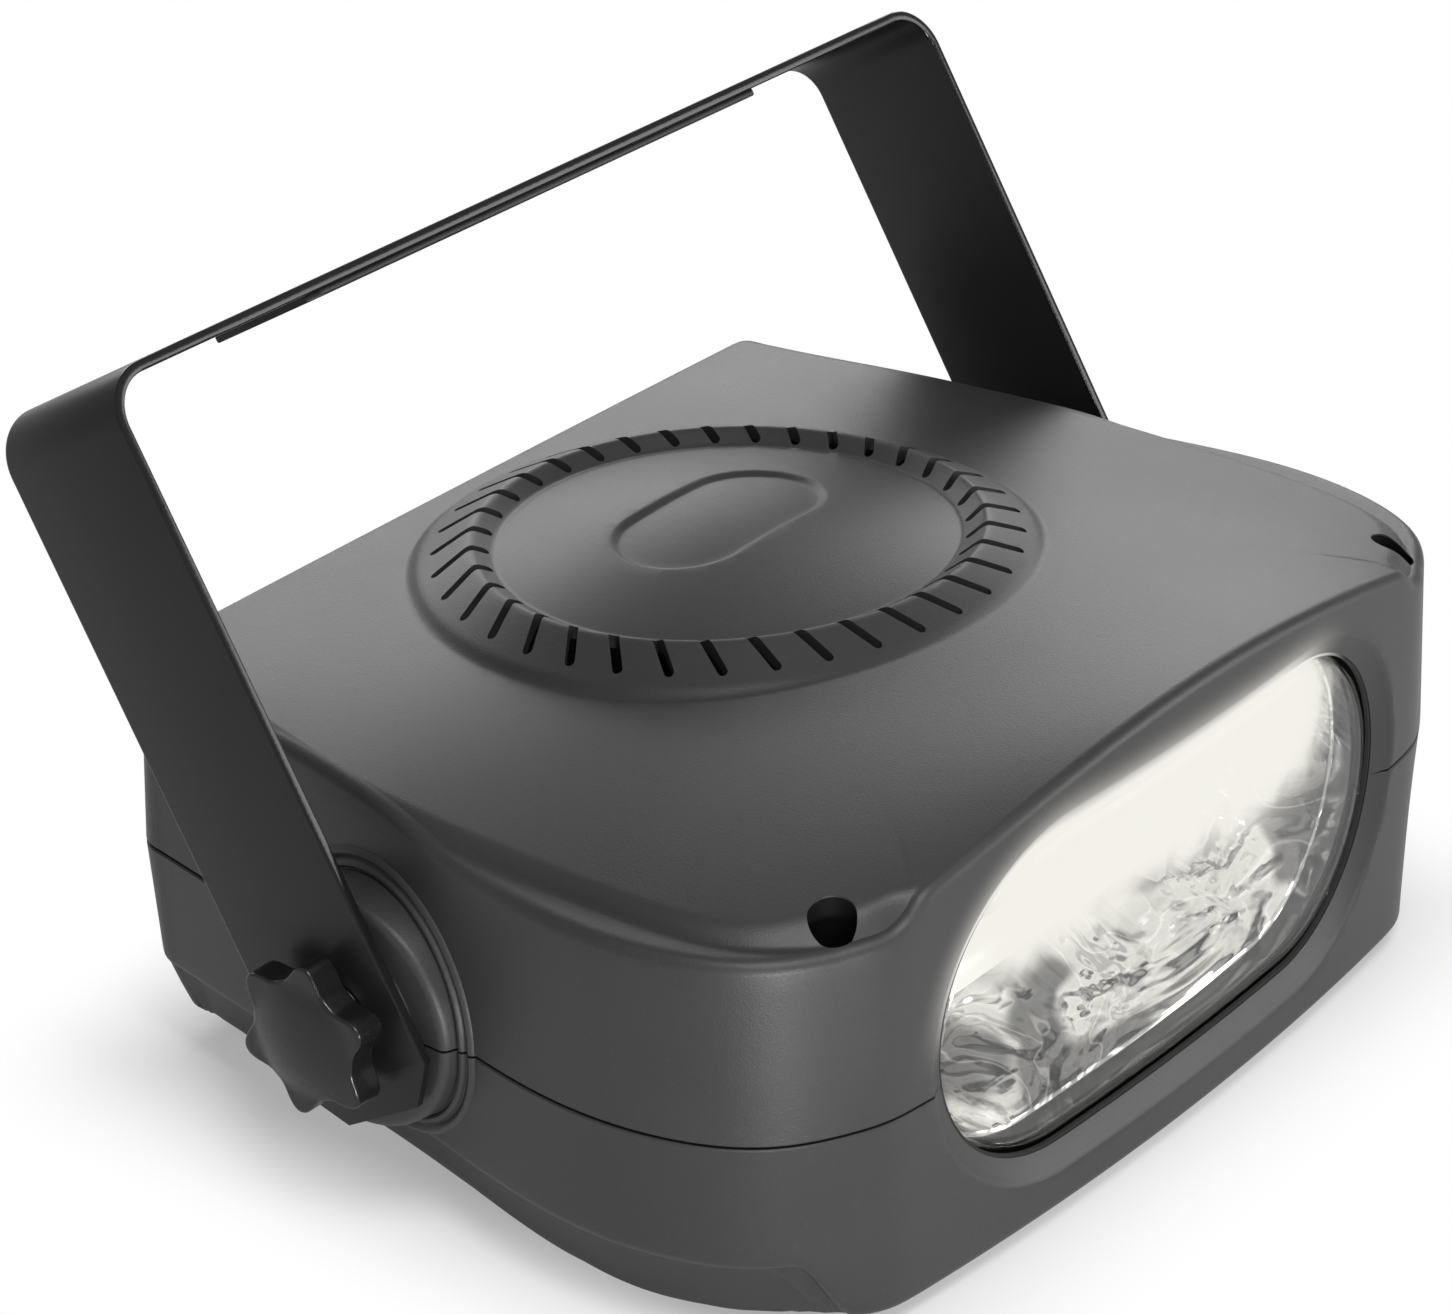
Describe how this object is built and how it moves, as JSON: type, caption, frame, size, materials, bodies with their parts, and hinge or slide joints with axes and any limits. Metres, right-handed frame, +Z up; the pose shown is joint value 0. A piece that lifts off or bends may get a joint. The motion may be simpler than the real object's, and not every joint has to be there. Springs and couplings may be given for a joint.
{
  "type": "xenon stroboscope",
  "caption": "Compact xenon stroboscope: flared moulded housing with a ring of vents, rounded front window and reflector, hung in a tilting U bracket with star clamp knobs.",
  "frame": {"origin": "middle of the bounding box in X and Y, on the plane that the rubber feet stand on", "axes": "+X to the right seen from the front, the lens faces -Y, +Z up"},
  "size_m": [0.2488, 0.1846, 0.1485],
  "materials": {
    "housing": "fine-grained moulded charcoal",
    "bracket": "satin black powder coat",
    "knob": "satin black",
    "steel": "zinc plated",
    "lens": "clear polished",
    "seal": "black",
    "reflector": "crinkled bright",
    "tube": "clear glass",
    "ceramic": "white ceramic",
    "board": "green board",
    "parts": "dark moulded",
    "can": "sleeved can",
    "winding": "varnished winding",
    "rubber": "black",
    "pad": "fibre washer",
    "fitting": "black moulded"
  },
  "bodies": {
    "housing": {"upper_shell": "housing", "lower_shell": "housing", "lens_gasket": "seal", "front_lens": "lens", "reflector": "reflector", "flash_tube": "tube", "tube_holder_left": "ceramic", "tube_holder_right": "ceramic", "circuit_board": "board", "board_screws": "steel", "discharge_capacitor_left": "can", "discharge_capacitor_right": "can", "ballast_resistor": "ceramic", "trigger_transformer": "winding", "board_components": "parts", "housing_screws": "steel", "rubber_feet": "rubber", "speed_pot": "steel", "pot_nut": "steel", "fuse_holder": "fitting", "cord_gland": "fitting", "gland_nut": "fitting", "friction_pad_left": "pad", "pivot_nut_left": "steel", "friction_pad_right": "pad", "pivot_nut_right": "steel"},
    "bracket": {"bracket": "bracket"},
    "speed_dial": {"speed_knob": "fitting", "pot_shaft": "fitting"},
    "fuse_carrier": {"fuse_cap": "fitting", "fuse": "tube"},
    "clamp_travel_left": {"knob_washer_left": "steel"},
    "clamp_left": {"clamp_knob_left": "knob", "knob_stud_left": "steel"},
    "clamp_travel_right": {"knob_washer_right": "steel"},
    "clamp_right": {"clamp_knob_right": "knob", "knob_stud_right": "steel"}
  },
  "joints": [
    {"name": "bracket_tilt", "type": "hinge", "parent": "housing", "child": "bracket", "pos_m": [0, 0.00645, 0.0418], "axis": [1, 0, 0], "range_deg": [-58.3, 121.7]},
    {"name": "knob_left_travel", "type": "slide", "parent": "housing", "child": "clamp_travel_left", "axis": [-1, 0, 0], "range_m": [0, 0.00201]},
    {"name": "knob_left_turn", "type": "hinge", "parent": "clamp_travel_left", "child": "clamp_left", "pos_m": [0, 0.00645, 0.0418], "axis": [-1, 0, 0], "range_deg": [0, 720]},
    {"name": "knob_right_travel", "type": "slide", "parent": "housing", "child": "clamp_travel_right", "axis": [1, 0, 0], "range_m": [0, 0.00201]},
    {"name": "knob_right_turn", "type": "hinge", "parent": "clamp_travel_right", "child": "clamp_right", "pos_m": [0, 0.00645, 0.0418], "axis": [1, 0, 0], "range_deg": [0, 720]},
    {"name": "speed_knob_turn", "type": "hinge", "parent": "housing", "child": "speed_dial", "pos_m": [-0.048, 0.07835, 0.023], "axis": [0, 1, 0], "range_deg": [-150, 150]},
    {"name": "fuse_cap_turn", "type": "hinge", "parent": "housing", "child": "fuse_carrier", "pos_m": [0.012, 0.07835, 0.023], "axis": [0, 1, 0], "range_deg": [0, 90]}
  ],
  "couplings": [
    {"joint": "knob_left_travel", "follows": "knob_left_turn", "m_per_rad": 0.00015915},
    {"joint": "knob_right_travel", "follows": "knob_right_turn", "m_per_rad": 0.00015915}
  ]
}
